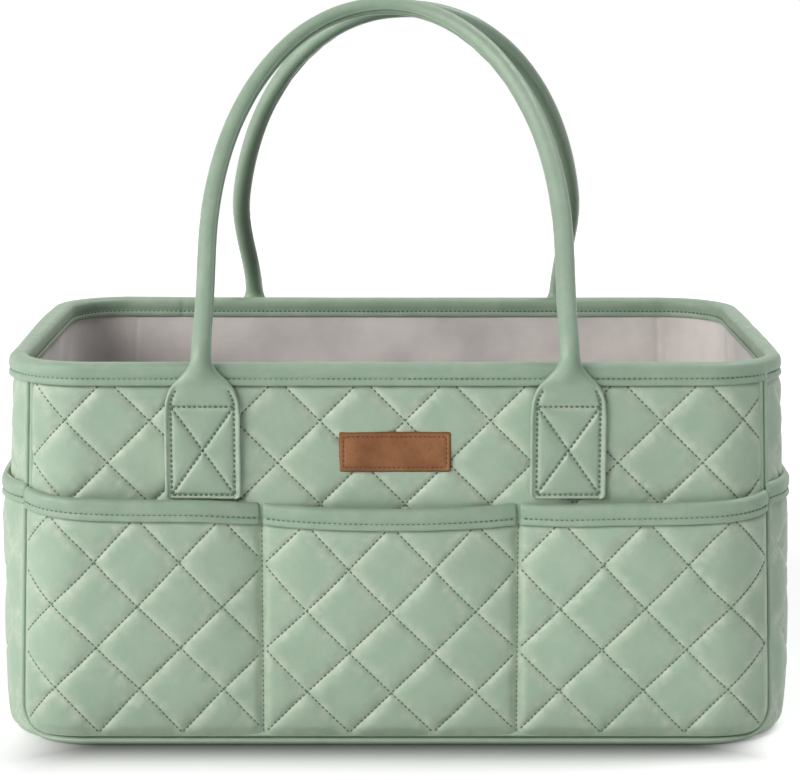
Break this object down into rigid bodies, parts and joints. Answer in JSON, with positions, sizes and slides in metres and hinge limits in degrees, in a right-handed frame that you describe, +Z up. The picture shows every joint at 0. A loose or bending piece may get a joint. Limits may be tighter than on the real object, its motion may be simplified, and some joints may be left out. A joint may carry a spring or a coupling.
{
  "type": "diaper caddy",
  "caption": "Open quilted soft-sided caddy with a bound rim, outer pockets all round, arched carry handles that lean together, and a lift-out divider.",
  "frame": {"origin": "middle of the footprint, on the ground", "axes": "+X along the long side to the right as seen from the front, +Y from front to back, +Z up"},
  "size_m": [0.406, 0.2668, 0.3592],
  "materials": {
    "quilted_leather": "matte sage green coated leather-look fabric, quilted over thin foam",
    "binding_leather": "matte sage green leather-look strip, folded over the edge and stitched",
    "handle_leather": "smooth matte sage green leather-look sleeve",
    "handle_cord": "twisted cotton cord, hidden inside the sleeve",
    "lining_fabric": "plain woven grey polyester lining",
    "divider_fabric": "plain woven grey polyester over thin foam",
    "stiffening_board": "plain polyethylene board, hidden between shell and lining",
    "loop_tape": "soft looped fastening tape",
    "hook_tape": "hooked fastening tape",
    "tan_leather": "bare tan leather, sewn round its edge"
  },
  "bodies": {
    "caddy": {"front_panel": "quilted_leather", "back_panel": "quilted_leather", "left_side_panel": "quilted_leather", "right_side_panel": "quilted_leather", "bottom_panel": "quilted_leather", "front_pocket_panel": "quilted_leather", "back_pocket_panel": "quilted_leather", "left_pocket_panel": "quilted_leather", "right_pocket_panel": "quilted_leather", "rim_binding": "binding_leather", "front_pocket_binding": "binding_leather", "back_pocket_binding": "binding_leather", "left_pocket_binding": "binding_leather", "right_pocket_binding": "binding_leather", "front_left_handle_tab": "handle_leather", "front_right_handle_tab": "handle_leather", "back_left_handle_tab": "handle_leather", "back_right_handle_tab": "handle_leather", "front_lining": "lining_fabric", "back_lining": "lining_fabric", "left_lining": "lining_fabric", "right_lining": "lining_fabric", "base_lining": "lining_fabric", "front_board": "stiffening_board", "back_board": "stiffening_board", "left_board": "stiffening_board", "right_board": "stiffening_board", "base_board": "stiffening_board", "loop_strip_front_left": "loop_tape", "loop_strip_front_right": "loop_tape", "loop_strip_back_left": "loop_tape", "loop_strip_back_right": "loop_tape", "leather_patch": "tan_leather"},
    "front_handle": {"front_handle_sleeve": "handle_leather", "front_handle_cord": "handle_cord"},
    "back_handle": {"back_handle_sleeve": "handle_leather", "back_handle_cord": "handle_cord"},
    "divider": {"divider_left_wall": "divider_fabric", "divider_right_wall": "divider_fabric", "divider_middle_wall": "divider_fabric", "hook_strip_front_left": "hook_tape", "hook_strip_front_right": "hook_tape", "hook_strip_back_left": "hook_tape", "hook_strip_back_right": "hook_tape"}
  },
  "joints": [
    {"name": "front_handle_swing", "type": "hinge", "parent": "caddy", "child": "front_handle", "pos_m": [0, -0.1276, 0.1935], "axis": [1, 0, 0], "range_deg": [0, 180]},
    {"name": "back_handle_swing", "type": "hinge", "parent": "caddy", "child": "back_handle", "pos_m": [0, 0.1276, 0.1935], "axis": [-1, 0, 0], "range_deg": [0, 180]},
    {"name": "divider_lift", "type": "slide", "parent": "caddy", "child": "divider", "axis": [0, 0, 1], "range_m": [0, 0.18]}
  ]
}
